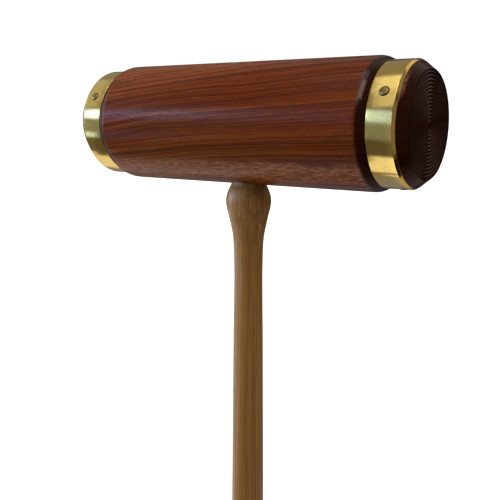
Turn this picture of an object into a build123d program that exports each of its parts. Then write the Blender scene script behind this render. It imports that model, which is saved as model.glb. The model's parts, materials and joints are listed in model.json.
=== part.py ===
"""A long-handled round mallet: a turned hardwood head, bound at both ends with pinned brass rings,
on a turned ash handle whose tenon is wedged in the head's eye.

Millimetres. +Z runs up the handle to the head and +X along the head. The origin is on the handle's
axis, at the middle of the straight grip.
"""
from build123d import *

import math
import os

os.makedirs("parts", exist_ok=True)

# Driving dimensions of the whole
OVERALL_LENGTH = 914.4          # 36 inches, from the butt of the handle to the far side of the head
HEAD_LENGTH = 238.0
HEAD_RADIUS = 38.1              # 3 inch head
GRIP_LENGTH = 250.0
GRIP_RADIUS = 14.0
BUTT_ROUNDING = 10.0

# Brass rings: thin tube, bevelled on the side towards the face
RING_OUTER_RADIUS = 35.5
RING_WALL = 1.2
RING_WIDTH = 16.3
RING_GAP = 0.3                  # between the ring and the head's shoulder
RING_BEVEL_LENGTH = 1.5
RING_BEVEL_DROP = 1.0
RING_EASED_EDGE = 0.25

# Turned ends of the head
END_CHAMFER_LENGTH = 5.6        # from the ring's outer end to the striking face
END_CHAMFER_ANGLE = 37.2        # degrees from the head's axis
FACE_EDGE_ROUNDING = 1.5
SHOULDER_LENGTH = 7.0           # rounding of the barrel down to the ring
SHOULDER_RADIUS = 35.3

# Concentric grooves of the striking faces
GROOVE_COUNT = 14
GROOVE_PITCH = 2.0
FIRST_GROOVE_RADIUS = 3.0
GROOVE_WIDTH = 1.4
GROOVE_DEPTH = 0.5

# Brass pins that hold the rings
PINS_PER_RING = 3
FIRST_PIN_ANGLE = 28.0          # degrees above level, on the -Y side
PIN_HEAD_RADIUS = 2.4
PIN_HEAD_RIM = 0.35
PIN_HEAD_HEIGHT = 0.75
PIN_SHANK_RADIUS = 1.1
PIN_SHANK_LENGTH = 14.0
PIN_POINT_LENGTH = 2.2
PIN_SEAT_DEPTH = 0.1

# Eye, tenon, saw kerf and wedge
EYE_RADIUS = 11.1               # 7/8 inch bore
EYE_FLARE = 1.5                 # how far the eye opens each way along the head, at the head's top
EYE_OVERRUN = 6.0
KERF_WIDTH = 1.0
KERF_DEPTH = 44.0
WEDGE_DEPTH = 34.0

# Handle profile, as a radius and a distance below the head's axis
SWELL_RADIUS = 14.65
SWELL_DROP = 49.2
FLANK_RADIUS = 12.4
FLANK_DROP = 60.8
WAIST_RADIUS = 10.08
WAIST_DROP = 73.0
NECK_RADIUS = 9.34
NECK_DROP = 93.0
NECK_END_RADIUS = 9.43
NECK_END_DROP = 112.0
TAPER_START_RADIUS = 9.86
TAPER_START_DROP = 140.0

# Places worked out from the dimensions above
BUTT_HEIGHT = -(GRIP_LENGTH / 2 + BUTT_ROUNDING)
HEAD_HEIGHT = BUTT_HEIGHT + OVERALL_LENGTH - HEAD_RADIUS
FACE_X = HEAD_LENGTH / 2
RING_END_X = FACE_X - END_CHAMFER_LENGTH
RING_START_X = RING_END_X - RING_WIDTH
SHOULDER_X = RING_START_X - RING_GAP
RING_BORE_RADIUS = RING_OUTER_RADIUS - RING_WALL
FACE_RADIUS = RING_BORE_RADIUS - END_CHAMFER_LENGTH * math.tan(math.radians(END_CHAMFER_ANGLE))
PIN_X = RING_START_X + RING_WIDTH / 2
PIN_SEAT_RADIUS = RING_OUTER_RADIUS - PIN_SEAT_DEPTH
WEDGE_TOP_WIDTH = KERF_WIDTH + 2 * EYE_FLARE

# The head is drawn along its axis on this plane: local x is +X and local y is the radius
HEAD_PLANE = Plane(origin=(0, 0, HEAD_HEIGHT), x_dir=(1, 0, 0), z_dir=(0, -1, 0))
HEAD_AXIS = Axis((0, 0, HEAD_HEIGHT), (1, 0, 0))
SIDES = {"right": 1, "left": -1}


def save(piece, name):
    """Labels a finished piece and writes it as its own file."""
    piece.label = name
    export_step(piece, f"parts/{name}.step")


def pin_direction(number):
    """The unit vector in which a pin's head points, out from the head's axis."""
    angle = math.radians(FIRST_PIN_ANGLE + number * 360 / PINS_PER_RING)
    return Vector(0, -math.cos(angle), math.sin(angle))


def make_pin(sign, number):
    """One domed pin, seated on the ring, with its point in the wood."""
    out = pin_direction(number)
    seat = Vector(sign * PIN_X, 0, HEAD_HEIGHT) + out * PIN_SEAT_RADIUS
    across = Vector(1, 0, 0)
    with BuildPart() as pin:
        with BuildSketch(Plane(origin=seat, x_dir=across, z_dir=across.cross(out))):
            with BuildLine():
                dome = ThreePointArc(
                    (-PIN_HEAD_RADIUS, PIN_HEAD_RIM),
                    (0, PIN_HEAD_HEIGHT),
                    (PIN_HEAD_RADIUS, PIN_HEAD_RIM),
                )
                Polyline(
                    dome @ 1,
                    (PIN_HEAD_RADIUS, 0),
                    (PIN_SHANK_RADIUS, 0),
                    (PIN_SHANK_RADIUS, PIN_POINT_LENGTH - PIN_SHANK_LENGTH),
                    (0, -PIN_SHANK_LENGTH),
                    (-PIN_SHANK_RADIUS, PIN_POINT_LENGTH - PIN_SHANK_LENGTH),
                    (-PIN_SHANK_RADIUS, 0),
                    (-PIN_HEAD_RADIUS, 0),
                    dome @ 0,
                )
            make_face()
            # Only one half of the outline is turned about the pin's own axis
            with Locations((-2 * PIN_HEAD_RADIUS, -PIN_SHANK_LENGTH / 2)):
                Rectangle(4 * PIN_HEAD_RADIUS, 2 * PIN_SHANK_LENGTH, mode=Mode.SUBTRACT)
        revolve(axis=Axis(seat, out))
    return pin.part


def make_ring(sign, pins):
    """One brass ring, drilled and spot-faced for its pins."""
    inner_end = sign * RING_START_X
    outer_end = sign * RING_END_X
    with BuildPart() as ring:
        with BuildSketch(HEAD_PLANE):
            with BuildLine():
                Polyline(
                    (inner_end, RING_BORE_RADIUS),
                    (inner_end, RING_OUTER_RADIUS - RING_EASED_EDGE),
                    (inner_end + sign * RING_EASED_EDGE, RING_OUTER_RADIUS),
                    (outer_end - sign * RING_BEVEL_LENGTH, RING_OUTER_RADIUS),
                    (outer_end, RING_OUTER_RADIUS - RING_BEVEL_DROP),
                    (outer_end, RING_BORE_RADIUS),
                    close=True,
                )
            make_face()
        revolve(axis=HEAD_AXIS)
        for pin in pins:
            add(pin, mode=Mode.SUBTRACT)
    return ring.part


# Brass pins and rings, both ends alike
pins = {}
for side, sign in SIDES.items():
    pins[side] = [make_pin(sign, number) for number in range(PINS_PER_RING)]
    for number, pin in enumerate(pins[side], start=1):
        save(pin, f"ring_pin_{side}_{number}")
    save(make_ring(sign, pins[side]), f"brass_ring_{side}")

# The eye as a solid: round up to the head's axis, then opening along the head towards its top
with BuildPart() as eye:
    with BuildSketch(Plane.XY.offset(HEAD_HEIGHT)):
        Circle(EYE_RADIUS)
    extrude(amount=-(HEAD_RADIUS + EYE_OVERRUN))
    with BuildSketch(Plane.XY.offset(HEAD_HEIGHT)):
        Circle(EYE_RADIUS)
    with BuildSketch(Plane.XY.offset(HEAD_HEIGHT + HEAD_RADIUS + EYE_OVERRUN)):
        Ellipse(EYE_RADIUS + EYE_FLARE * (1 + EYE_OVERRUN / HEAD_RADIUS), EYE_RADIUS)
    loft()

# Head: half is turned, grooved and mirrored, then bored for the handle and the pins
with BuildPart() as head:
    with BuildSketch(HEAD_PLANE) as half_outline:
        with BuildLine():
            barrel = Line((0, HEAD_RADIUS), (SHOULDER_X - SHOULDER_LENGTH, HEAD_RADIUS))
            shoulder = TangentArc(barrel @ 1, (SHOULDER_X, SHOULDER_RADIUS), tangent=(1, 0))
            Polyline(
                shoulder @ 1,
                (SHOULDER_X, RING_BORE_RADIUS),
                (RING_END_X, RING_BORE_RADIUS),
                (FACE_X, FACE_RADIUS),
                (FACE_X, 0),
                (0, 0),
                barrel @ 0,
            )
        make_face()
        face_corner = half_outline.vertices().group_by(Axis.X)[-1].sort_by(Axis.Y)[-1]
        fillet(face_corner, radius=FACE_EDGE_ROUNDING)
    revolve(axis=HEAD_AXIS)
    with BuildSketch(HEAD_PLANE):
        for number in range(GROOVE_COUNT):
            radius = FIRST_GROOVE_RADIUS + number * GROOVE_PITCH
            with BuildLine():
                Polyline(
                    (FACE_X - GROOVE_DEPTH, radius),
                    (FACE_X + GROOVE_DEPTH, radius + GROOVE_WIDTH),
                    (FACE_X + GROOVE_DEPTH, radius - GROOVE_WIDTH),
                    close=True,
                )
            make_face()
    revolve(axis=HEAD_AXIS, mode=Mode.SUBTRACT)
    mirror(about=Plane.YZ)
    add(eye.part, mode=Mode.SUBTRACT)
    for side in SIDES:
        for pin in pins[side]:
            add(pin, mode=Mode.SUBTRACT)
save(head.part, "head")

# Everything above the head's upper surface, which the tenon and the wedge are trimmed to
with BuildPart() as above_head:
    with Locations((0, 0, HEAD_HEIGHT + HEAD_RADIUS)):
        Box(4 * EYE_RADIUS, 4 * EYE_RADIUS, 2 * HEAD_RADIUS)
    with Locations(Location((0, 0, HEAD_HEIGHT), (0, 90, 0))):
        Cylinder(HEAD_RADIUS, 6 * EYE_RADIUS, mode=Mode.SUBTRACT)

# Kerf and wedge lie across the head's grain
WEDGE_TIP_HEIGHT = HEAD_HEIGHT + HEAD_RADIUS - WEDGE_DEPTH
KERF_END_HEIGHT = HEAD_HEIGHT + HEAD_RADIUS - KERF_DEPTH
WEDGE_OUTLINE = [
    (-KERF_WIDTH / 2, WEDGE_TIP_HEIGHT),
    (KERF_WIDTH / 2, WEDGE_TIP_HEIGHT),
    (WEDGE_TOP_WIDTH / 2, HEAD_HEIGHT + HEAD_RADIUS),
    (-WEDGE_TOP_WIDTH / 2, HEAD_HEIGHT + HEAD_RADIUS),
]

with BuildPart() as handle_wedge:
    with BuildSketch(Plane.XZ):
        with BuildLine():
            Polyline(*WEDGE_OUTLINE, close=True)
        make_face()
    extrude(amount=2 * EYE_RADIUS, both=True)
    add(eye.part, mode=Mode.INTERSECT)
    add(above_head.part, mode=Mode.SUBTRACT)
save(handle_wedge.part, "handle_wedge")

# Handle: turned to its profile, the tenon's upper half spread to fill the eye, then slotted
with BuildPart() as handle:
    with BuildSketch(Plane.XZ):
        with BuildLine():
            seat = (EYE_RADIUS, HEAD_HEIGHT - HEAD_RADIUS)
            taper_end = Vector(GRIP_RADIUS, GRIP_LENGTH / 2)
            taper_start = Vector(TAPER_START_RADIUS, HEAD_HEIGHT - TAPER_START_DROP)
            Spline(
                seat,
                (SWELL_RADIUS, HEAD_HEIGHT - SWELL_DROP),
                (FLANK_RADIUS, HEAD_HEIGHT - FLANK_DROP),
                (WAIST_RADIUS, HEAD_HEIGHT - WAIST_DROP),
                (NECK_RADIUS, HEAD_HEIGHT - NECK_DROP),
                (NECK_END_RADIUS, HEAD_HEIGHT - NECK_END_DROP),
                taper_start,
                tangents=[(1, -1.7), taper_end - taper_start],
            )
            grip = Polyline(taper_start, taper_end, (GRIP_RADIUS, -GRIP_LENGTH / 2))
            butt = TangentArc(
                grip @ 1, (GRIP_RADIUS - BUTT_ROUNDING, BUTT_HEIGHT), tangent=(0, -1)
            )
            Polyline(butt @ 1, (0, BUTT_HEIGHT), (0, HEAD_HEIGHT), (EYE_RADIUS, HEAD_HEIGHT), seat)
        make_face()
    revolve(axis=Axis.Z)
    add(eye.part.solid())
    add(above_head.part, mode=Mode.SUBTRACT)
    with BuildSketch(Plane.XZ):
        with BuildLine():
            Polyline(*WEDGE_OUTLINE, close=True)
        make_face()
        with Locations((0, (WEDGE_TIP_HEIGHT + KERF_END_HEIGHT) / 2)):
            Rectangle(KERF_WIDTH, WEDGE_TIP_HEIGHT - KERF_END_HEIGHT)
    extrude(amount=2 * EYE_RADIUS, both=True, mode=Mode.SUBTRACT)
save(handle.part, "handle")
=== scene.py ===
"""The looks of a long-handled round mallet: dark turned head, pinned brass rings, ash handle.

Metres, in the frame of the CAD model: +Z up the handle, +X along the head.
"""

import json
import math

import bmesh
import bpy
from mathutils import Matrix, Vector


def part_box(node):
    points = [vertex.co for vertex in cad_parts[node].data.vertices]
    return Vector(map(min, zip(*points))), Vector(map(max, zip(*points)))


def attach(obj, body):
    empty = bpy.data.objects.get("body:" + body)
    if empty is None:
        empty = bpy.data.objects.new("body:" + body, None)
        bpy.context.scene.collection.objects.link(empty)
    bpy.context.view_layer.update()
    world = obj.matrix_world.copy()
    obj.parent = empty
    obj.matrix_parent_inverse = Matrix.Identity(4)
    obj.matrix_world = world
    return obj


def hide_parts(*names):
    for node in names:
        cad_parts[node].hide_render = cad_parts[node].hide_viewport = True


MM = 0.001

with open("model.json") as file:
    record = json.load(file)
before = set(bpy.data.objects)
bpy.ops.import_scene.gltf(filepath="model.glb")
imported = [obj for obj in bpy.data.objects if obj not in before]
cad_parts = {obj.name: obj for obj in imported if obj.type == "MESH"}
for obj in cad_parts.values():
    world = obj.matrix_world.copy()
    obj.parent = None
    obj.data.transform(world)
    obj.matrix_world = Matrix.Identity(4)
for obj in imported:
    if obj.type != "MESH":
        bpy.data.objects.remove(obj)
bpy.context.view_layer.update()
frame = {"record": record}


# ---------------------------------------------------------------- places, read from the frame

HEAD_LOW, HEAD_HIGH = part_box("head")
RING_LOW, RING_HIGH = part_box("brass_ring_right")
WEDGE_LOW, WEDGE_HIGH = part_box("handle_wedge")
GRIP = next(m for m in frame["record"]["mounts"] if m["name"] == "grip")

HEAD_CENTRE = (HEAD_LOW + HEAD_HIGH) / 2
HEAD_RADIUS = (HEAD_HIGH.z - HEAD_LOW.z) / 2
FACE_X = HEAD_HIGH.x
RING_RADIUS = (RING_HIGH.y - RING_LOW.y) / 2
RING_INNER_X = RING_LOW.x
RING_OUTER_X = RING_HIGH.x
BUTT_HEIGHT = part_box("handle")[0].z
GRIP_RADIUS = GRIP["dims"]["r_mm"] * MM
GRIP_LENGTH = GRIP["dims"]["length_mm"] * MM

# Shapes that the frame doesn't state
RING_WALL = 1.2 * MM
RING_BEVEL_LENGTH = 1.5 * MM
RING_BEVEL_DROP = 1.0 * MM
RING_GAP = 0.3 * MM
BORE_RADIUS = RING_RADIUS - RING_WALL
SHOULDER_X = RING_INNER_X - RING_GAP
SHOULDER_LENGTH = 7.0 * MM
SHOULDER_RADIUS = RING_RADIUS - 0.2 * MM
END_CHAMFER_ANGLE = math.radians(37.2)
FACE_EDGE_ROUNDING = 1.5 * MM
GROOVE_COUNT = 14
GROOVE_PITCH = 2.0 * MM
FIRST_GROOVE_RADIUS = 3.0 * MM
GROOVE_WIDTH = 1.7 * MM
GROOVE_DEPTH = 0.45 * MM
SEAT_RADIUS = BORE_RADIUS - 0.15 * MM       # the wood under a ring, a hair smaller than its bore
EYE_RADIUS = 11.1 * MM
EYE_FLARE = 1.5 * MM
EYE_CLEARANCE = 0.08 * MM
KERF_WIDTH = 1.0 * MM
WEDGE_CLEARANCE = 0.06 * MM
BUTT_ROUNDING = 10 * MM

# Pins, as heights above the seat on the ring, and their holes
PIN_HEAD_RADIUS = 2.4 * MM
PIN_HEAD_RIM = 0.30 * MM
PIN_HEAD_TOP = 0.74 * MM
PIN_HEAD_UNDERSIDE = -0.2 * MM
PIN_SHANK_RADIUS = 1.1 * MM
PIN_SHANK_END = -11.8 * MM
PIN_POINT = -13.9 * MM
PIN_SEAT_DEPTH = 0.1 * MM
PIN_HOLE_RADIUS = 1.15 * MM
PIN_HOLE_END = -14.1 * MM
PIN_RECESS_RADIUS = 2.8 * MM
PIN_RECESS_FLOOR = -0.6 * MM

# The handle below the head, as radius and distance below the head's axis
HANDLE_CURVE = [
    (11.1 * MM, 38.1 * MM),
    (14.65 * MM, 49.2 * MM),
    (12.4 * MM, 60.8 * MM),
    (10.08 * MM, 73.0 * MM),
    (9.34 * MM, 93.0 * MM),
    (9.43 * MM, 112.0 * MM),
    (9.86 * MM, 140.0 * MM),
]

ALONG_HEAD = Vector((1, 0, 0))
SIDES = {"right": 1, "left": -1}
PIN_NUMBERS = (1, 2, 3)
ON_AXIS = 1e-7                              # a radius smaller than this is a point on the axis


# ---------------------------------------------------------------- outlines and turned solids

def softened(outline, radii, steps=5):
    """The outline with each corner that has a radius replaced by an arc of that radius."""
    made = []
    for index, point in enumerate(outline):
        radius = radii.get(index, 0)
        if not radius:
            made.append(point)
            continue
        corner = Vector(point)
        before = (Vector(outline[index - 1]) - corner).normalized()
        after = (Vector(outline[(index + 1) % len(outline)]) - corner).normalized()
        half = before.angle(after) / 2
        centre = corner + (before + after).normalized() * radius / math.sin(half)
        start = corner + before * radius / math.tan(half) - centre
        turn = start.angle_signed(corner + after * radius / math.tan(half) - centre)
        for step in range(steps + 1):
            spoke = Matrix.Rotation(-turn * step / steps, 2) @ start
            made.append(tuple(centre + spoke))
    return made


def turned(name, outline, origin, along, sides, closed=False):
    """A solid of revolution. The outline is a list of (distance along the axis, radius)."""
    across = along.orthogonal().normalized()
    beside = along.cross(across)
    bm = bmesh.new()
    rows = []
    for distance, radius in outline:
        centre = origin + along * distance
        if radius < ON_AXIS:
            rows.append([bm.verts.new(centre)])
            continue
        row = []
        for k in range(sides):
            angle = 2 * math.pi * k / sides
            spoke = across * math.cos(angle) + beside * math.sin(angle)
            row.append(bm.verts.new(centre + spoke * radius))
        rows.append(row)
    join_rows(bm, rows, closed)
    return finished(name, bm)


def join_rows(bm, rows, closed):
    """Faces between each row of points and the next. A row of one point closes an end."""
    neighbours = list(zip(rows, rows[1:]))
    if closed:
        neighbours.append((rows[-1], rows[0]))
    for low, high in neighbours:
        count = max(len(low), len(high))
        for k in range(count):
            j = (k + 1) % count
            corners = [low[k % len(low)], low[j % len(low)], high[j % len(high)], high[k % len(high)]]
            corners = list(dict.fromkeys(corners))
            if len(corners) > 2:
                bm.faces.new(corners)
    bmesh.ops.recalc_face_normals(bm, faces=bm.faces)


def finished(name, bm):
    """Turns a bmesh into a linked object."""
    mesh = bpy.data.meshes.new(name)
    bm.to_mesh(mesh)
    bm.free()
    piece = bpy.data.objects.new(name, mesh)
    bpy.context.scene.collection.objects.link(piece)
    return piece


def smooth(piece, sharp_over=35):
    """Smooth shading, with edges sharper than that many degrees left crisp."""
    piece.data.shade_smooth()
    piece.data.set_sharp_from_angle(angle=math.radians(sharp_over))


def cut(piece, tool, operation="DIFFERENCE"):
    """Applies a boolean with the tool, which is then removed."""
    modifier = piece.modifiers.new("cut", "BOOLEAN")
    modifier.operation = operation
    modifier.solver = "EXACT"
    modifier.object = tool
    apply_modifiers(piece)
    bpy.data.objects.remove(tool)


def copy_of(piece):
    """Another object with the same mesh, to cut or trim with."""
    other = bpy.data.objects.new(piece.name + "_tool", piece.data.copy())
    bpy.context.scene.collection.objects.link(other)
    return other


def apply_modifiers(piece):
    """Keeps what the modifiers make of the mesh, and removes them."""
    depsgraph = bpy.context.evaluated_depsgraph_get()
    mesh = bpy.data.meshes.new_from_object(piece.evaluated_get(depsgraph))
    piece.modifiers.clear()
    piece.data = mesh


def finish_piece(piece, material, node):
    """Gives a piece its material and its body, and hides the CAD node that it stands for."""
    if not piece.data.materials:
        piece.data.materials.append(material)
    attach(piece, "root")
    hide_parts(node)


# ---------------------------------------------------------------- head

def groove_depth(radius):
    """How deep the face is cut at this radius: rounded grooves between narrow flat lands."""
    nearest = round((radius - FIRST_GROOVE_RADIUS) / GROOVE_PITCH)
    if not 0 <= nearest < GROOVE_COUNT:
        return 0
    offset = radius - FIRST_GROOVE_RADIUS - nearest * GROOVE_PITCH
    if abs(offset) > GROOVE_WIDTH / 2:
        return 0
    return GROOVE_DEPTH * math.cos(math.pi * offset / GROOVE_WIDTH) ** 2


def grooved_face(last_groove):
    """The striking face out to its last groove."""
    steps_per_groove = 12
    steps = round(last_groove / GROOVE_PITCH * steps_per_groove)
    outline = []
    for step in range(steps):
        radius = last_groove * step / steps
        outline.append((FACE_X - groove_depth(radius), radius))
    return outline


def shoulder():
    """An arc from the ring's seat up to the barrel, which it meets at a tangent."""
    drop = HEAD_RADIUS - SHOULDER_RADIUS
    arc_radius = (SHOULDER_LENGTH ** 2 + drop ** 2) / (2 * drop)
    sweep = math.asin(SHOULDER_LENGTH / arc_radius)
    steps = 14
    outline = []
    for step in range(steps + 1):
        angle = sweep * (1 - step / steps)
        x = SHOULDER_X - SHOULDER_LENGTH + arc_radius * math.sin(angle)
        outline.append((x, HEAD_RADIUS - arc_radius * (1 - math.cos(angle))))
    return outline


def head_half_outline():
    """From the middle of the striking face to the middle of the barrel, as (x, radius)."""
    chamfer_length = FACE_X - RING_OUTER_X
    face_radius = BORE_RADIUS - chamfer_length * math.tan(END_CHAMFER_ANGLE)
    last_groove = FIRST_GROOVE_RADIUS + (GROOVE_COUNT - 0.5) * GROOVE_PITCH
    end = softened(
        [
            (FACE_X, last_groove),
            (FACE_X, face_radius),
            (RING_OUTER_X + 0.3 * MM, SEAT_RADIUS),
            (RING_OUTER_X - 1 * MM, SEAT_RADIUS),
        ],
        {1: FACE_EDGE_ROUNDING, 2: 1.6 * MM},
    )
    outline = grooved_face(last_groove) + end
    outline.append((SHOULDER_X, SEAT_RADIUS))
    outline += shoulder()
    # Rows of points along the barrel, closer together where the eye is cut
    for x in (70, 50, 35, 25, 20, 17.5, 15, 12.5, 10, 7.5, 5, 2.5):
        outline.append((x * MM, HEAD_RADIUS))
    return outline


def make_eye_tool(clearance):
    """The eye as a solid: round below the head's axis, opening along the head above it."""
    overrun = 5 * MM
    sides = 96
    bm = bmesh.new()
    rows = []
    for height in (-HEAD_RADIUS - overrun, 0, HEAD_RADIUS + overrun):
        flare = EYE_FLARE * max(height, 0) / HEAD_RADIUS
        row = []
        for k in range(sides):
            angle = 2 * math.pi * k / sides
            x = (EYE_RADIUS + clearance + flare) * math.cos(angle)
            y = (EYE_RADIUS + clearance) * math.sin(angle)
            row.append(bm.verts.new(HEAD_CENTRE + Vector((x, y, height))))
        rows.append(row)
    join_rows(bm, rows, closed=False)
    bm.faces.new(rows[0][::-1])
    bm.faces.new(rows[-1])
    bmesh.ops.recalc_face_normals(bm, faces=bm.faces)
    return finished("eye_tool", bm)


def make_head():
    """The turned head, with its eye and the holes for the pins."""
    half = head_half_outline()
    outline = half + [(0, HEAD_RADIUS)] + [(-x, radius) for x, radius in reversed(half)]
    head = turned("mallet_head", outline, Vector((0, 0, HEAD_CENTRE.z)), ALONG_HEAD, 192)
    cut(head, make_eye_tool(EYE_CLEARANCE))
    for side in SIDES:
        for number in PIN_NUMBERS:
            cut(head, make_pin_hole(side, number))
    smooth(head, 40)
    return head


# ---------------------------------------------------------------- rings and pins

def make_ring(side, sign):
    """A thin brass band, bevelled on the side towards the face, with holes for its pins."""
    outline = softened(
        [
            (sign * RING_INNER_X, BORE_RADIUS),
            (sign * RING_INNER_X, RING_RADIUS),
            (sign * (RING_OUTER_X - RING_BEVEL_LENGTH), RING_RADIUS),
            (sign * RING_OUTER_X, RING_RADIUS - RING_BEVEL_DROP),
            (sign * RING_OUTER_X, BORE_RADIUS),
        ],
        {1: 0.3 * MM, 2: 0.5 * MM, 3: 0.12 * MM},
    )
    ring = turned(f"ring_{side}", outline, Vector((0, 0, HEAD_CENTRE.z)), ALONG_HEAD, 256, closed=True)
    for number in PIN_NUMBERS:
        cut(ring, make_pin_hole(side, number))
    smooth(ring, 50)
    return ring


def pin_seat(side, number):
    """Where a pin sits on its ring, and which way it points out, as the frame has it."""
    low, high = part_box(f"ring_pin_{side}_{number}")
    middle = (low + high) / 2 - HEAD_CENTRE
    out = Vector((0, middle.y, middle.z)).normalized()
    return HEAD_CENTRE + Vector((middle.x, 0, 0)) + out * (RING_RADIUS - PIN_SEAT_DEPTH), out


def make_pin(side, number):
    """A low domed pin."""
    seat, out = pin_seat(side, number)
    outline = softened(
        [
            (PIN_POINT, 0),
            (PIN_SHANK_END, PIN_SHANK_RADIUS),
            (PIN_HEAD_UNDERSIDE, PIN_SHANK_RADIUS),
            (PIN_HEAD_UNDERSIDE, PIN_HEAD_RADIUS),
            (PIN_HEAD_RIM, PIN_HEAD_RADIUS),
        ],
        {3: 0.08 * MM},
    )
    dome_steps = 12
    for step in range(dome_steps):
        angle = math.pi / 2 * step / dome_steps
        height = PIN_HEAD_RIM + (PIN_HEAD_TOP - PIN_HEAD_RIM) * math.sin(angle)
        outline.append((height, PIN_HEAD_RADIUS * math.cos(angle) ** 0.8))
    outline.append((PIN_HEAD_TOP, 0))
    pin = turned(f"pin_{side}_{number}", outline, seat, out, 48)
    smooth(pin, 50)
    return pin


def make_pin_hole(side, number):
    """The hole for a pin, with a recess a hair wider than its head."""
    seat, out = pin_seat(side, number)
    overrun = 3 * MM
    outline = [
        (PIN_HOLE_END, 0),
        (PIN_HOLE_END, PIN_HOLE_RADIUS),
        (PIN_RECESS_FLOOR, PIN_HOLE_RADIUS),
        (PIN_RECESS_FLOOR, PIN_RECESS_RADIUS),
        (overrun, PIN_RECESS_RADIUS),
        (overrun, 0),
    ]
    return turned("pin_hole", outline, seat, out, 48)


# ---------------------------------------------------------------- handle and wedge

def through_points(points, steps):
    """A smooth curve through the points, by cubic pieces with slopes taken from the neighbours."""
    curve = []
    last = len(points) - 1
    slopes = []
    for index in range(len(points)):
        ahead = points[min(index + 1, last)]
        behind = points[max(index - 1, 0)]
        slopes.append((ahead[0] - behind[0]) / (ahead[1] - behind[1]))
    # The curve starts steep, and is level at the second point, where the swell is widest
    slopes[0] = 2 * (points[1][0] - points[0][0]) / (points[1][1] - points[0][1]) - slopes[1] / 2
    slopes[0] = min(slopes[0], 0.6)
    slopes[1] = 0
    for index in range(last):
        (r0, d0), (r1, d1) = points[index], points[index + 1]
        span = d1 - d0
        for step in range(steps):
            t = step / steps
            radius = (
                (2 * t ** 3 - 3 * t ** 2 + 1) * r0
                + (t ** 3 - 2 * t ** 2 + t) * span * slopes[index]
                + (3 * t ** 2 - 2 * t ** 3) * r1
                + (t ** 3 - t ** 2) * span * slopes[index + 1]
            )
            curve.append((radius, d0 + t * span))
    curve.append(points[-1])
    return curve


def handle_outline():
    """The handle from butt to tenon, as (height, radius)."""
    axis_height = HEAD_CENTRE.z
    butt = softened(
        [
            (BUTT_HEIGHT, 0),
            (BUTT_HEIGHT, GRIP_RADIUS),
            (-GRIP_LENGTH / 2 + 1 * MM, GRIP_RADIUS),
        ],
        {1: BUTT_ROUNDING},
        steps=14,
    )
    outline = list(butt)
    taper_radius, taper_drop = HANDLE_CURVE[-1]
    taper_low = GRIP_LENGTH / 2
    taper_high = axis_height - taper_drop
    taper_steps = 20
    for step in range(taper_steps):
        share = step / taper_steps
        height = taper_low + (taper_high - taper_low) * share
        outline.append((height, GRIP_RADIUS + (taper_radius - GRIP_RADIUS) * share))
    for radius, drop in reversed(through_points(HANDLE_CURVE, 10)):
        outline.append((axis_height - drop, radius))
    outline.append((axis_height, EYE_RADIUS))
    return outline


def handle_row(bm, height, radius, sides):
    """A level ring of points, or the one point on the axis."""
    if radius < ON_AXIS:
        return [bm.verts.new((0, 0, height))]
    row = []
    for k in range(sides):
        angle = 2 * math.pi * k / sides
        row.append(bm.verts.new((radius * math.cos(angle), radius * math.sin(angle), height)))
    return row


def tenon_end_row(bm, share, sides):
    """A ring of points on the tenon's end, which follows the barrel. Share is 1 at its edge."""
    row = []
    for k in range(sides if share else 1):
        angle = 2 * math.pi * k / sides
        y = EYE_RADIUS * share * math.sin(angle)
        above = math.sqrt(HEAD_RADIUS ** 2 - y ** 2)
        x = (EYE_RADIUS + EYE_FLARE * above / HEAD_RADIUS) * share * math.cos(angle)
        row.append(bm.verts.new((x, y, HEAD_CENTRE.z + above)))
    return row


def make_handle_and_wedge():
    """Both are trimmed to the head's upper surface, and the tenon is slotted for the wedge."""
    sides = 128
    bm = bmesh.new()
    rows = [handle_row(bm, height, radius, sides) for height, radius in handle_outline()]
    rows += [tenon_end_row(bm, share, sides) for share in (1, 0.8, 0.6, 0.4, 0.2, 0)]
    join_rows(bm, rows, closed=False)
    handle = finished("mallet_handle", bm)
    wedge = make_wedge_block("mallet_wedge", 0)
    cut(wedge, copy_of(handle), "INTERSECT")
    cut(handle, make_wedge_block("slot", WEDGE_CLEARANCE))
    smooth(handle, 40)
    smooth(wedge, 40)
    return handle, wedge


def make_wedge_block(name, clearance):
    """The wedge before it is trimmed, or with a clearance the slot that it goes in."""
    overrun = 1 * MM
    kerf_below_wedge = 10 * MM
    top = HEAD_HIGH.z + overrun
    tip = WEDGE_LOW.z
    half_top = (WEDGE_HIGH.x - WEDGE_LOW.x) / 2
    half_top += (half_top - KERF_WIDTH / 2) * overrun / (HEAD_HIGH.z - tip)
    outline = [
        (-KERF_WIDTH / 2 - clearance, tip),
        (KERF_WIDTH / 2 + clearance, tip),
        (half_top + clearance, top),
        (-half_top - clearance, top),
    ]
    if clearance:
        outline[0:2] = [
            (-KERF_WIDTH / 2, tip - kerf_below_wedge),
            (KERF_WIDTH / 2, tip - kerf_below_wedge),
            (KERF_WIDTH / 2 + clearance, tip),
        ]
        outline.append((-KERF_WIDTH / 2 - clearance, tip))
    bm = bmesh.new()
    slices = 24
    half_length = 1.2 * EYE_RADIUS
    rows = []
    for step in range(slices + 1):
        y = half_length * (2 * step / slices - 1)
        rows.append([bm.verts.new((x, y, z)) for x, z in outline])
    join_rows(bm, rows, closed=False)
    bm.faces.new(rows[0])
    bm.faces.new(rows[-1][::-1])
    bmesh.ops.recalc_face_normals(bm, faces=bm.faces)
    return finished(name, bm)


# ---------------------------------------------------------------- shader nodes

def add_node(tree, kind, inputs=None, **settings):
    """Adds a node. An input's value is a socket to link from, or a number, vector or colour."""
    node = tree.nodes.new("ShaderNode" + kind)
    for key, value in settings.items():
        setattr(node, key, value)
    for key, value in (inputs or {}).items():
        if isinstance(value, bpy.types.NodeSocket):
            tree.links.new(value, node.inputs[key])
        else:
            node.inputs[key].default_value = value
    return node


def calc(tree, operation, *values):
    """The result of a Math node."""
    return add_node(tree, "Math", dict(enumerate(values)), operation=operation).outputs[0]


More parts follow.
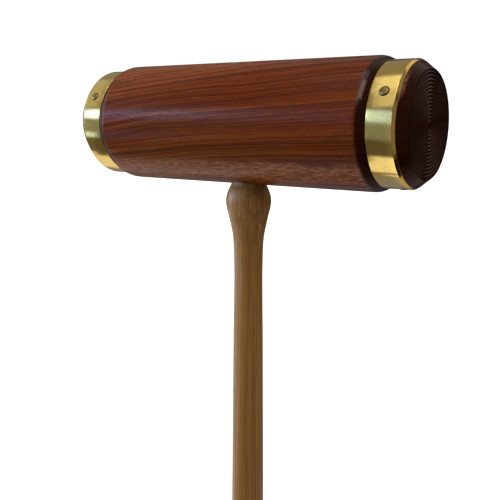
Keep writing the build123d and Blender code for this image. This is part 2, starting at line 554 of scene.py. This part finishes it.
def vector_calc(tree, operation, *values):
    """The result of a Vector Math node."""
    return add_node(tree, "VectorMath", dict(enumerate(values)), operation=operation).outputs["Vector"]


def remap(tree, value, low, high, to_low=0.0, to_high=1.0, smooth_step=True):
    """Value taken from low..high to to_low..to_high, clamped."""
    inputs = {"Value": value, "From Min": low, "From Max": high, "To Min": to_low, "To Max": to_high}
    kind = "SMOOTHSTEP" if smooth_step else "LINEAR"
    return add_node(tree, "MapRange", inputs, interpolation_type=kind).outputs["Result"]


def noise(tree, vector, detail, roughness=0.5):
    """Smooth noise from 0 to 1, with one lump or so to each unit of the vector."""
    inputs = {"Vector": vector, "Scale": 1.0, "Detail": detail, "Roughness": roughness}
    return add_node(tree, "TexNoise", inputs).outputs["Fac"]


def wandering(tree, squeeze, reach):
    """A vector that wanders about nought by up to half the reach on each axis."""
    inputs = {"Vector": stretched(tree, squeeze), "Scale": 1.0, "Detail": 2.0}
    wander = add_node(tree, "TexNoise", inputs).outputs["Color"]
    wander = vector_calc(tree, "SUBTRACT", wander, (0.5, 0.5, 0.5))
    return vector_calc(tree, "MULTIPLY", wander, reach)


def blend_colours(tree, factor, first, second, mode="MIX"):
    """The first colour at a factor of 0, and at 1 the second, or the sum where the mode is ADD."""
    inputs = {"Factor": factor, 6: first, 7: second}
    return add_node(tree, "Mix", inputs, data_type="RGBA", blend_type=mode).outputs[2]


def ramp(tree, factor, stops):
    """A colour ramp. A stop is (position, colour)."""
    node = add_node(tree, "ValToRGB", {"Fac": factor})
    elements = node.color_ramp.elements
    while len(elements) < len(stops):
        elements.new(0.5)
    for element, (position, colour) in zip(elements, stops):
        element.position = position
        element.color = (*colour, 1)
    return node.outputs["Color"]


def new_material(name):
    """A material, its node tree and its Principled shader."""
    material = bpy.data.materials.new(name)
    material.use_nodes = True
    tree = material.node_tree
    shader = next(n for n in tree.nodes if n.type == "BSDF_PRINCIPLED")
    return material, tree, shader


def connect(tree, shader, name, socket):
    """Links a node's result to one of the shader's inputs."""
    tree.links.new(socket, shader.inputs[name])


def bump(tree, shader, height, distance):
    """Roughens the surface by a height that is multiplied by the distance."""
    node = add_node(tree, "Bump", {"Height": height, "Distance": distance, "Strength": 1.0})
    connect(tree, shader, "Normal", node.outputs["Normal"])


def surface_direction(tree):
    """Which way the surface faces, in the frame's axes."""
    return add_node(tree, "TexCoord").outputs["Normal"]


# ---------------------------------------------------------------- wood

def stretched(tree, squeeze):
    """The frame's coordinates scaled axis by axis, so that noise is drawn out along the grain."""
    place = add_node(tree, "TexCoord").outputs["Object"]
    return vector_calc(tree, "MULTIPLY", place, squeeze)


ROSEWOOD_PITH = (0.0, 0.03, 0.52)
ROSEWOOD_SLOPE = 0.07
ROSEWOOD_BOW = 0.17
ROSEWOOD_STOPS = [
    (0.40, (0.17, 0.028, 0.002)),
    (0.46, (0.31, 0.066, 0.005)),
    (0.53, (0.42, 0.106, 0.011)),
    (0.59, (0.52, 0.150, 0.022)),
]
ROSEWOOD_DARK = (0.090, 0.011, 0.0015, 1)
ROSEWOOD_PURPLE = (0.15, 0.027, 0.010, 1)
ROSEWOOD_PAINTED_HIGHLIGHT = (0.80, 0.30, 0.10, 1)
ROSEWOOD_PORE = (0.030, 0.006, 0.003, 1)
ROSEWOOD_END = (0.016, 0.003, 0.0015, 1)
SHEEN_BAND_DROP = 28 * MM
SHEEN_BAND_TILT = 0.012
HIGHLIGHT_X = RING_OUTER_X + 0.9 * MM
HIGHLIGHT_RISE = 21 * MM


def end_grain_share(tree):
    """How far the surface is cut across the grain, for wood that runs along X: 0 on the barrel."""
    facing = add_node(tree, "SeparateXYZ", {0: surface_direction(tree)}).outputs["X"]
    return remap(tree, calc(tree, "ABSOLUTE", facing), 0.12, 0.32)


def front_share(tree, spot):
    """1 on the front of the head and 0 behind its axis; it keeps the painted sheen and painted highlight
    to the front.
    """
    return remap(tree, spot.outputs["Y"], -12 * MM, -6 * MM, 1.0, 0.0)


def rosewood_layers(tree, place):
    """Growth layers: cylinders about a pith well below the head, wandering slowly along the grain.

    The third coordinate of the result is the distance from the pith.
    """
    moved = vector_calc(tree, "ADD", place, wandering(tree, (7.0, 18.0, 18.0), (0.0, 0.009, 0.009)))
    moved = vector_calc(tree, "SUBTRACT", moved, ROSEWOOD_PITH)
    axes = add_node(tree, "SeparateXYZ", {0: moved})
    x, y = axes.outputs["X"], axes.outputs["Y"]
    rise = calc(tree, "MULTIPLY_ADD", x, ROSEWOOD_BOW, -ROSEWOOD_SLOPE)
    z = calc(tree, "MULTIPLY_ADD", x, rise, axes.outputs["Z"])
    squares = calc(tree, "ADD", calc(tree, "MULTIPLY", y, y), calc(tree, "MULTIPLY", z, z))
    radius = calc(tree, "SQRT", squares)
    return add_node(tree, "CombineXYZ", {"X": x, "Y": y, "Z": radius}).outputs[0]


def rosewood_figure(tree, layer):
    """Colour by layer: broad zones, streaks some millimetres apart, and thin dark lines."""
    broad = noise(tree, vector_calc(tree, "MULTIPLY", layer, (1.5, 6.0, 85.0)), 1.0)
    streaks = noise(tree, vector_calc(tree, "MULTIPLY", layer, (1.5, 6.0, 300.0)), 2.0, 0.6)
    fine = noise(tree, vector_calc(tree, "MULTIPLY", layer, (3.0, 12.0, 1000.0)), 2.0, 0.6)
    tone = calc(tree, "ADD", calc(tree, "MULTIPLY", broad, 0.28), calc(tree, "MULTIPLY", streaks, 0.42))
    tone = calc(tree, "MULTIPLY_ADD", fine, 0.30, tone)
    colour = ramp(tree, tone, ROSEWOOD_STOPS)
    purple = remap(tree, broad, 0.58, 0.70, 0.0, 0.50)
    colour = blend_colours(tree, purple, colour, ROSEWOOD_PURPLE)
    dark_streak = remap(tree, streaks, 0.53, 0.62, 0.0, 0.74)
    colour = blend_colours(tree, dark_streak, colour, ROSEWOOD_DARK)
    dark_line = remap(tree, fine, 0.49, 0.58, 0.0, 0.72)
    return blend_colours(tree, dark_line, colour, ROSEWOOD_DARK)


def rosewood_painted_sheen(tree, spot):
    """Painted sheen: a paler band of short flecks low on the front, where the floor's reflection falls,
    with wandering edges, stronger to the right.
    """
    x = spot.outputs["X"]
    middle = calc(tree, "MULTIPLY_ADD", x, SHEEN_BAND_TILT, HEAD_CENTRE.z - SHEEN_BAND_DROP)
    edge_wander = noise(tree, stretched(tree, (22.0, 60.0, 60.0)), 2.0)
    middle = calc(tree, "MULTIPLY_ADD", calc(tree, "SUBTRACT", edge_wander, 0.5), 8 * MM, middle)
    away = calc(tree, "ABSOLUTE", calc(tree, "SUBTRACT", spot.outputs["Z"], middle))
    zone = calc(tree, "MULTIPLY", remap(tree, away, 3 * MM, 7.5 * MM, 1.0, 0.0), front_share(tree, spot))
    zone = calc(tree, "MULTIPLY", zone, remap(tree, x, -70 * MM, 60 * MM, 0.70, 1.0))
    flecks = noise(tree, stretched(tree, (170.0, 900.0, 900.0)), 2.0, 0.6)
    flecks = remap(tree, flecks, 0.42, 0.60, 0.25, 1.0)
    return calc(tree, "MULTIPLY", calc(tree, "MULTIPLY", zone, flecks), 0.90)


def rosewood_painted_highlight(tree, spot):
    """Painted highlight: a pale streak beside the right ring, high on the front, where the edge catches
    the light.
    """
    beside = calc(tree, "ABSOLUTE", calc(tree, "SUBTRACT", spot.outputs["X"], HIGHLIGHT_X))
    height = calc(tree, "ABSOLUTE", calc(tree, "SUBTRACT", spot.outputs["Z"], HEAD_CENTRE.z + HIGHLIGHT_RISE))
    wear_and_painted_highlight = calc(tree, "MULTIPLY",
                remap(tree, beside, 0.3 * MM, 1.1 * MM, 1.0, 0.0),
                remap(tree, height, 4 * MM, 8 * MM, 1.0, 0.0))
    wear_and_painted_highlight = calc(tree, "MULTIPLY", wear_and_painted_highlight, front_share(tree, spot))
    patchy = noise(tree, stretched(tree, (900.0, 300.0, 300.0)), 2.0, 0.6)
    return calc(tree, "MULTIPLY", wear_and_painted_highlight, remap(tree, patchy, 0.42, 0.60, 0.15, 0.40))


def rosewood_gloss(tree, shader, grain, pores):
    """Polished on the barrel, duller in the pores and on the left shoulder, lacquered on the right one."""
    facing = add_node(tree, "SeparateXYZ", {0: surface_direction(tree)})
    to_right = facing.outputs["X"]
    gloss = remap(tree, grain, 0.3, 0.7, 0.10, 0.24, smooth_step=False)
    gloss = calc(tree, "MULTIPLY_ADD", pores, 0.25, gloss)
    dulled = remap(tree, to_right, -0.30, -0.10, 0.40, 0.0)
    connect(tree, shader, "Roughness", calc(tree, "ADD", gloss, dulled))
    shader.inputs["Specular IOR Level"].default_value = 0.12
    lacquer = calc(tree, "MULTIPLY",
                   remap(tree, to_right, 0.08, 0.20),
                   remap(tree, to_right, 0.42, 0.50, 1.0, 0.0))
    lacquer = calc(tree, "MULTIPLY", lacquer, remap(tree, facing.outputs["Z"], 0.0, 0.25))
    connect(tree, shader, "Coat Weight", calc(tree, "MULTIPLY", lacquer, 0.5))
    shader.inputs["Coat Roughness"].default_value = 0.05


def rosewood():
    """Dark red-brown hardwood with its grain along X, oiled and polished."""
    material, tree, shader = new_material("rosewood_polished")
    place = add_node(tree, "TexCoord").outputs["Object"]
    spot = add_node(tree, "SeparateXYZ", {0: place})
    colour = rosewood_figure(tree, rosewood_layers(tree, place))
    # Painted sheen: pale flecks low on the front
    colour = blend_colours(tree, rosewood_painted_sheen(tree, spot), colour, ROSEWOOD_PAINTED_HIGHLIGHT)

    # Fibres, and open pores drawn out along the grain; the right end is painted darker than the left, as
    # painted shade
    fibres = noise(tree, stretched(tree, (60.0, 1300.0, 1300.0)), 2.0, 0.6)
    colour = blend_colours(tree, remap(tree, fibres, 0.42, 0.72, 0.0, 0.40), colour, ROSEWOOD_DARK)
    grain = noise(tree, stretched(tree, (750.0, 1100.0, 1100.0)), 1.0, 0.6)
    colour = blend_colours(tree, remap(tree, grain, 0.45, 0.75, 0.0, 0.35), colour, ROSEWOOD_DARK)
    pore_noise = noise(tree, stretched(tree, (420.0, 3600.0, 3600.0)), 0.0)
    pores = remap(tree, pore_noise, 0.62, 0.76)
    colour = blend_colours(tree, calc(tree, "MULTIPLY", pores, 0.55), colour, ROSEWOOD_PORE)
    darker = remap(tree, spot.outputs["X"], -100 * MM, 70 * MM, 0.0, 0.30, smooth_step=False)
    colour = blend_colours(tree, darker, colour, ROSEWOOD_DARK)

    # End grain drinks the oil and goes nearly black
    ends = end_grain_share(tree)
    colour = blend_colours(tree, calc(tree, "MULTIPLY", ends, 0.90), colour, ROSEWOOD_END)
    # Painted highlight: a pale streak beside the right ring
    colour = blend_colours(tree, rosewood_painted_highlight(tree, spot), colour, ROSEWOOD_PAINTED_HIGHLIGHT)
    connect(tree, shader, "Base Color", colour)
    rosewood_gloss(tree, shader, grain, pores)
    height = calc(tree, "MULTIPLY_ADD", pores, -0.5, calc(tree, "MULTIPLY", fibres, 0.3))
    height = calc(tree, "MULTIPLY_ADD", grain, 1.1, height)
    bump(tree, shader, height, 0.09 * MM)
    return material


ASH_LAYER_DIRECTION = (0.88, 0.475, 0.0)
ASH_RING_SPACING = 1.4 * MM
ASH_SHADE_START_HEIGHT = HEAD_CENTRE.z - 120 * MM
ASH_SHADE_FULL_HEIGHT = HEAD_CENTRE.z - 240 * MM
ASH_LATE = (0.60, 0.345, 0.098, 1)
ASH_LATE_DARK = (0.47, 0.23, 0.050, 1)
ASH_EARLY = (0.25, 0.115, 0.026, 1)
ASH_PALE = (0.66, 0.45, 0.18, 1)
ASH_PORE = (0.10, 0.045, 0.012, 1)


def ash_layers(tree, place):
    """Flat growth layers, numbered across the handle with a fraction for the place within a layer."""
    moved = vector_calc(tree, "ADD", place, wandering(tree, (30.0, 30.0, 4.0), (0.003, 0.003, 0.0)))
    across = add_node(tree, "VectorMath", {0: moved, 1: ASH_LAYER_DIRECTION}, operation="DOT_PRODUCT")
    depth = calc(tree, "DIVIDE", across.outputs["Value"], ASH_RING_SPACING)
    uneven = noise(tree, stretched(tree, (160.0, 160.0, 1.5)), 1.0)
    return calc(tree, "MULTIPLY_ADD", uneven, 1.2, depth)


def ash_edge_sharpness(tree):
    """Small where the surface runs along a layer, so that the layer's edges are blurred there."""
    inputs = {0: surface_direction(tree), 1: ASH_LAYER_DIRECTION}
    facing = add_node(tree, "VectorMath", inputs, operation="DOT_PRODUCT").outputs["Value"]
    return remap(tree, calc(tree, "ABSOLUTE", facing), 0.78, 0.96, 1.0, 0.08)


def ash_layer_colour(tree, depth, early, sharp):
    """Late wood that varies from layer to layer, with a few pale streaks, and darker early wood."""
    layer_number = calc(tree, "FLOOR", depth)
    chance = add_node(tree, "TexWhiteNoise", {"W": layer_number}, noise_dimensions="1D").outputs["Value"]
    tint = noise(tree, stretched(tree, (260.0, 260.0, 3.0)), 2.0)
    colour = blend_colours(tree, remap(tree, tint, 0.3, 0.7), ASH_LATE, ASH_LATE_DARK)
    pale = calc(tree, "MULTIPLY", remap(tree, chance, 0.55, 1.0, 0.0, 0.55), sharp)
    colour = blend_colours(tree, pale, colour, ASH_PALE)
    colour = blend_colours(tree, calc(tree, "MULTIPLY", early, 0.75), colour, ASH_EARLY)
    streak = noise(tree, stretched(tree, (420.0, 420.0, 1.6)), 1.0)
    return blend_colours(tree, remap(tree, streak, 0.60, 0.72, 0.0, 0.55), colour, ASH_PALE)


def ash():
    """Pale brown ash with fine straight growth lines up the handle, under a thin varnish."""
    material, tree, shader = new_material("ash_varnished")
    place = add_node(tree, "TexCoord").outputs["Object"]
    depth = ash_layers(tree, place)
    sharp = ash_edge_sharpness(tree)
    part = calc(tree, "FRACT", depth)
    early = calc(tree, "SUBTRACT", 1.0, remap(tree, part, 0.10, 0.50))
    early = calc(tree, "MULTIPLY", early, remap(tree, part, 0.0, 0.12))
    early = calc(tree, "MULTIPLY", early, sharp)
    colour = ash_layer_colour(tree, depth, early, sharp)

    # Lines, fibres, and pores in the early wood
    line = noise(tree, stretched(tree, (900.0, 900.0, 2.0)), 1.0)
    colour = blend_colours(tree, remap(tree, line, 0.46, 0.60, 0.0, 0.36), colour, ASH_EARLY)
    fibres = noise(tree, stretched(tree, (1500.0, 1500.0, 14.0)), 2.0, 0.6)
    colour = blend_colours(tree, remap(tree, fibres, 0.42, 0.75, 0.0, 0.45), colour, ASH_EARLY)
    pore_noise = noise(tree, stretched(tree, (2600.0, 2600.0, 110.0)), 0.0)
    pores = calc(tree, "MULTIPLY", remap(tree, pore_noise, 0.60, 0.72), early)
    colour = blend_colours(tree, calc(tree, "MULTIPLY", pores, 0.75), colour, ASH_PORE)

    # Painted shade: the handle is darkened a little from the taper down
    up = add_node(tree, "SeparateXYZ", {0: place}).outputs["Z"]
    painted_shade_low = remap(tree, up, ASH_SHADE_FULL_HEIGHT, ASH_SHADE_START_HEIGHT, 0.18, 0.0)
    colour = blend_colours(tree, painted_shade_low, colour, ASH_EARLY)
    connect(tree, shader, "Base Color", colour)
    connect(tree, shader, "Roughness", remap(tree, fibres, 0.3, 0.7, 0.26, 0.42, smooth_step=False))
    shader.inputs["Specular IOR Level"].default_value = 0.35
    height = calc(tree, "MULTIPLY_ADD", pores, -1.0, calc(tree, "MULTIPLY", early, -0.35))
    height = calc(tree, "MULTIPLY_ADD", fibres, 0.3, height)
    bump(tree, shader, height, 0.10 * MM)
    return material


def wedge_wood():
    """The dark hardwood of the wedge, seen on its end."""
    material, tree, shader = new_material("wedge_hardwood")
    lines = noise(tree, stretched(tree, (900.0, 120.0, 20.0)), 2.0, 0.6)
    colour = ramp(tree, lines, [(0.35, (0.05, 0.018, 0.009)), (0.62, (0.13, 0.045, 0.02))])
    specks = noise(tree, stretched(tree, (3000.0, 3000.0, 200.0)), 1.0)
    colour = blend_colours(tree, remap(tree, specks, 0.62, 0.72, 0.0, 0.6), colour, ROSEWOOD_PORE)
    connect(tree, shader, "Base Color", colour)
    connect(tree, shader, "Roughness", remap(tree, specks, 0.3, 0.7, 0.38, 0.52))
    bump(tree, shader, specks, 0.06 * MM)
    return material


# ---------------------------------------------------------------- brass

BRASS_BRIGHT = (0.86, 0.63, 0.18, 1)
BRASS_DULL = (0.68, 0.48, 0.14, 1)
BRASS_SPECK = (0.22, 0.14, 0.06, 1)
BRASS_PAINTED_SHADE = (0.03, 0.022, 0.012, 1)
PIN_BRIGHT = (0.36, 0.31, 0.10, 1)
PIN_DULL = (0.16, 0.12, 0.05, 1)


def brass_painted_shade(tree, place, seats):
    """Painted shade: a narrow dark band round each pin, at the edge of its recess."""
    nearest = 1.0
    for seat in seats:
        away = add_node(tree, "VectorMath", {0: place, 1: seat}, operation="DISTANCE").outputs["Value"]
        nearest = calc(tree, "MINIMUM", away, nearest)
    return remap(tree, nearest, 2.75 * MM, 3.15 * MM, 1.0, 0.0)


def brass_specks(tree, place):
    """Small dark specks, gathered in patches."""
    specks = add_node(tree, "TexVoronoi", {"Vector": place, "Scale": 420.0, "Randomness": 1.0})
    in_patches = noise(tree, stretched(tree, (160.0, 160.0, 160.0)), 1.0)
    return calc(tree, "MULTIPLY",
                remap(tree, specks.outputs["Distance"], 0.10, 0.20, 1.0, 0.0),
                remap(tree, in_patches, 0.56, 0.66))


def brass(name, base, dull, rough, tarnish, seats=()):
    """Polished brass with fine lines round the head's axis, specks and a little tarnish."""
    material, tree, shader = new_material(name)
    shader.inputs["Metallic"].default_value = 1.0
    place = add_node(tree, "TexCoord").outputs["Object"]
    patches = noise(tree, stretched(tree, (90.0, 90.0, 90.0)), 3.0, 0.6)
    turning = noise(tree, stretched(tree, (2400.0, 22.0, 22.0)), 2.0, 0.6)
    speck = brass_specks(tree, place)
    wear_and_painted_highlight = calc(tree, "MULTIPLY", remap(tree, patches, 0.42, 0.75), tarnish)
    colour = blend_colours(tree, wear_and_painted_highlight, base, dull)
    mottling = noise(tree, stretched(tree, (700.0, 900.0, 900.0)), 1.0)
    colour = blend_colours(tree, remap(tree, mottling, 0.45, 0.70, 0.0, 0.45), colour, dull)
    # Painted shade: a dark band round each pin
    if seats:
        pin_shade = brass_painted_shade(tree, place, seats)
        colour = blend_colours(tree, calc(tree, "MULTIPLY", pin_shade, 0.92), colour, BRASS_PAINTED_SHADE)
    colour = blend_colours(tree, calc(tree, "MULTIPLY", speck, 0.55), colour, BRASS_SPECK)
    connect(tree, shader, "Base Color", colour)
    polish = remap(tree, patches, 0.3, 0.75, rough, rough + 0.06)
    polish = calc(tree, "MULTIPLY_ADD", turning, 0.04, polish)
    polish = calc(tree, "MULTIPLY_ADD", speck, 0.25, polish)
    connect(tree, shader, "Roughness", polish)
    grit = noise(tree, stretched(tree, (1500.0, 1500.0, 1500.0)), 1.0, 0.6)
    height = calc(tree, "MULTIPLY_ADD", speck, -0.5, turning)
    height = calc(tree, "MULTIPLY_ADD", grit, 2.2, height)
    bump(tree, shader, height, 0.012 * MM)
    return material


# ---------------------------------------------------------------- light, floor and camera

# What surrounds the mallet, as bands of soft light about the head's axis. A band is
# (radiance, low edge, high edge, edge softness, left limit, right limit, limit softness).
# Edges are in degrees about X, from 0 on the -Y side, up through 90 overhead. Each edge is given
# twice: as seen past the near ring and past the far ring. Limits are the X of a direction.
NEAR_X = -0.41
FAR_X = -0.73
LIGHT_BANDS = [
    # ceiling: its far part, its near part, and a brighter strip overhead
    ((0.42, 0.42, 0.44), (31, 34), (91, 114), 2.0, -1.2, -0.62, 0.07),
    ((0.62, 0.62, 0.64), (31, 31), (94, 94), 2.5, -0.515, 0.22, 0.015),
    ((0.32, 0.31, 0.30), (64, 64), (94, 94), 7.0, -0.515, 0.22, 0.015),
    ((0.18, 0.17, 0.16), (91, 114), (150, 150), 3.0, -1.2, 0.3, 0.2),
    # window, with its middle and its bright far half
    ((0.62, 0.95, 2.10), (4, 9), (25, 31), 4.0, -1.2, -0.30, 0.10),
    ((0.90, 1.75, 1.60), (12, 12), (26, 26), 4.0, -0.66, -0.575, 0.02),
    ((0.45, 1.00, 3.30), (12, 12), (27, 27), 2.0, -1.2, -0.71, 0.02),
    ((8.0, 12.5, 16.5), (10, 13), (26, 23), 2.5, -0.705, -0.65, 0.02),
    # wall below the window
    ((0.14, 0.19, 0.28), (-27, -22), (4, 8), 4.0, -1.2, -0.2, 0.1),
    ((0.75, 1.10, 2.10), (-33, -33), (-22, -22), 2.0, -1.2, -0.66, 0.04),
    ((0.06, 0.06, 0.06), (-75, -75), (0, 0), 3.0, -1.2, -0.70, 0.04),
    # walls in front, and a warm lamp high on the right of them
    ((0.14, 0.13, 0.12), (-55, -55), (29, 32), 6.0, -0.34, -0.08, 0.04),
    ((0.20, 0.175, 0.145), (-60, -60), (50, 50), 10.0, 0.45, 1.2, 0.10),
    ((3.4, 2.4, 1.6), (42, 42), (76, 76), 3.0, -0.02, 0.40, 0.03),
    # white floor: far part, middle and near part, and out to the sides
    ((0.76, 0.76, 0.84), (-127, -127), (-72, -72), 2.0, -1.2, -0.723, 0.012),
    ((0.85, 0.80, 0.78), (-108, -126), (-66, -82), 4.0, -0.723, -0.52, 0.015),
    ((0.90, 0.88, 0.94), (-101, -101), (-58, -58), 2.0, -0.52, -0.05, 0.02),
    ((0.35, 0.34, 0.33), (-150, -150), (-55, -60), 4.0, -1.2, -0.82, 0.04),
    ((0.5, 0.48, 0.45), (-130, -130), (-58, -60), 4.0, -0.34, -0.05, 0.05),
    ((0.22, 0.19, 0.18), (-150, -150), (-99, -127), 3.0, -1.2, -0.50, 0.02),
    ((0.15, 0.16, 0.23), (-150, -150), (-99, -127), 3.0, -0.50, 0.0, 0.02),
    # large light at the left
    ((3.8, 3.75, 3.7), (-15, -15), (75, 75), 6.0, -1.2, -0.86, 0.05),
    # behind, to the right, above and below eye level
    ((0.60, 0.50, 0.44), (112, 120), (166, 166), 3.0, 0.02, 1.2, 0.05),
    ((0.50, 0.42, 0.37), (-150, -150), (-108, -114), 3.0, 0.02, 1.2, 0.05),
    ((0.25, 0.25, 0.25), (60, 60), (112, 112), 8.0, 0.34, 1.2, 0.1),
]
AMBIENT = (0.11, 0.10, 0.09, 1)
RIGHT_AMBIENT = (0.012, 0.008, 0.006, 1)
BACKDROP_STRENGTH = 1.1
FLOOR_HALF_SIZE = 60
FLOOR_SHADES = [(0.3, (0.80, 0.80, 0.80)), (0.7, (0.84, 0.84, 0.84))]
FLOOR_GLOW = 0.85

CAMERA_FROM_HEAD = Vector((0.2588, -0.3762, 0.0035))
CAMERA_TURN = math.radians(34.40)
CAMERA_DOWN = math.radians(10.55)
CAMERA_ROLL = math.radians(0.216)
LENS = 51.05
SENSOR_WIDTH = 36


def within(tree, value, low, high, soft):
    """1 between two edges and 0 outside them, with soft edges."""
    above = remap(tree, calc(tree, "SUBTRACT", value, low), -soft, soft)
    below = remap(tree, calc(tree, "SUBTRACT", high, value), -soft, soft)
    return calc(tree, "MULTIPLY", above, below)


def band_share(tree, angle, x, far, band):
    """How much of a band's light comes from a direction."""
    _, low, high, soft, left, right, limit_soft = band
    low_edge = calc(tree, "MULTIPLY_ADD", far, low[1] - low[0], low[0])
    high_edge = calc(tree, "MULTIPLY_ADD", far, high[1] - high[0], high[0])
    between_edges = within(tree, angle, low_edge, high_edge, soft)
    return calc(tree, "MULTIPLY", between_edges, within(tree, x, left, right, limit_soft))


def make_world():
    """The studio's light. The camera itself sees a plain white backdrop."""
    world = bpy.data.worlds.new("studio")
    bpy.context.scene.world = world
    world.use_nodes = True
    tree = world.node_tree
    tree.nodes.clear()
    direction = add_node(tree, "TexCoord").outputs["Generated"]
    axes = add_node(tree, "SeparateXYZ", {0: vector_calc(tree, "NORMALIZE", direction)})
    x = axes.outputs["X"]
    angle = calc(tree, "ARCTAN2", axes.outputs["Z"], calc(tree, "MULTIPLY", axes.outputs["Y"], -1.0))
    angle = calc(tree, "DEGREES", angle)
    far = calc(tree, "DIVIDE", calc(tree, "SUBTRACT", x, NEAR_X), FAR_X - NEAR_X)
    far = add_node(tree, "Clamp", {"Value": far, "Min": -0.5, "Max": 1.4}).outputs[0]
    light = blend_colours(tree, remap(tree, x, -0.45, 0.1), AMBIENT, RIGHT_AMBIENT)
    for band in LIGHT_BANDS:
        brighter = blend_colours(tree, 1.0, light, (*band[0], 1), "ADD")
        light = blend_colours(tree, band_share(tree, angle, x, far, band), light, brighter)
    seen = add_node(tree, "LightPath").outputs["Is Camera Ray"]
    studio = add_node(tree, "Background", {"Color": light, "Strength": 1.0})
    backdrop = add_node(tree, "Background", {"Color": (1, 1, 1, 1), "Strength": BACKDROP_STRENGTH})
    both = add_node(tree, "MixShader", {0: seen, 1: studio.outputs[0], 2: backdrop.outputs[0]})
    add_node(tree, "OutputWorld", {"Surface": both.outputs[0]})


def make_floor():
    """A large pale floor that the mallet stands on, lit evenly so that it meets the backdrop unseen."""
    bm = bmesh.new()
    bmesh.ops.create_grid(bm, x_segments=8, y_segments=8, size=FLOOR_HALF_SIZE)
    bmesh.ops.translate(bm, verts=bm.verts, vec=(0, 0, BUTT_HEIGHT))
    floor = finished("floor", bm)
    material, tree, shader = new_material("floor_pale")
    grain = noise(tree, stretched(tree, (300.0, 300.0, 300.0)), 2.0)
    connect(tree, shader, "Base Color", ramp(tree, grain, FLOOR_SHADES))
    shader.inputs["Roughness"].default_value = 0.8
    shader.inputs["Emission Color"].default_value = (1, 1, 1, 1)
    shader.inputs["Emission Strength"].default_value = FLOOR_GLOW
    floor.data.materials.append(material)
    floor.visible_diffuse = False
    floor.visible_glossy = False
    floor.visible_shadow = False


def make_camera():
    """Beside the head, at its height, looking a little down."""
    data = bpy.data.cameras.new("camera")
    data.sensor_width = SENSOR_WIDTH
    data.lens = LENS
    data.clip_start = 0.01
    data.clip_end = 200
    camera = bpy.data.objects.new("camera", data)
    bpy.context.scene.collection.objects.link(camera)
    camera.location = HEAD_CENTRE + CAMERA_FROM_HEAD
    aim = Matrix.Rotation(CAMERA_TURN, 4, "Z") @ Matrix.Rotation(math.pi / 2 - CAMERA_DOWN, 4, "X")
    camera.rotation_euler = (aim @ Matrix.Rotation(CAMERA_ROLL, 4, "Z")).to_euler()
    bpy.context.scene.camera = camera


# ---------------------------------------------------------------- the whole mallet

bpy.context.scene.view_settings.view_transform = "Standard"
make_world()
make_floor()
make_camera()

HEAD_WOOD = rosewood()
PIN_SEATS = [pin_seat(side, number)[0] for side in SIDES for number in PIN_NUMBERS]
RING_BRASS = brass("ring_brass_polished", BRASS_BRIGHT, BRASS_DULL, 0.07, 0.5, PIN_SEATS)
PIN_BRASS = brass("pin_brass_dull", PIN_BRIGHT, PIN_DULL, 0.24, 0.9)
HANDLE_WOOD = ash()
WEDGE_WOOD = wedge_wood()

pins = {}
for side in SIDES:
    for number in PIN_NUMBERS:
        pins[side, number] = make_pin(side, number)

for side, sign in SIDES.items():
    ring = make_ring(side, sign)
    finish_piece(ring, RING_BRASS, f"brass_ring_{side}")

head = make_head()
finish_piece(head, HEAD_WOOD, "head")

for (side, number), pin in pins.items():
    finish_piece(pin, PIN_BRASS, f"ring_pin_{side}_{number}")

handle, wedge = make_handle_and_wedge()
finish_piece(handle, HANDLE_WOOD, "handle")
finish_piece(wedge, WEDGE_WOOD, "handle_wedge")
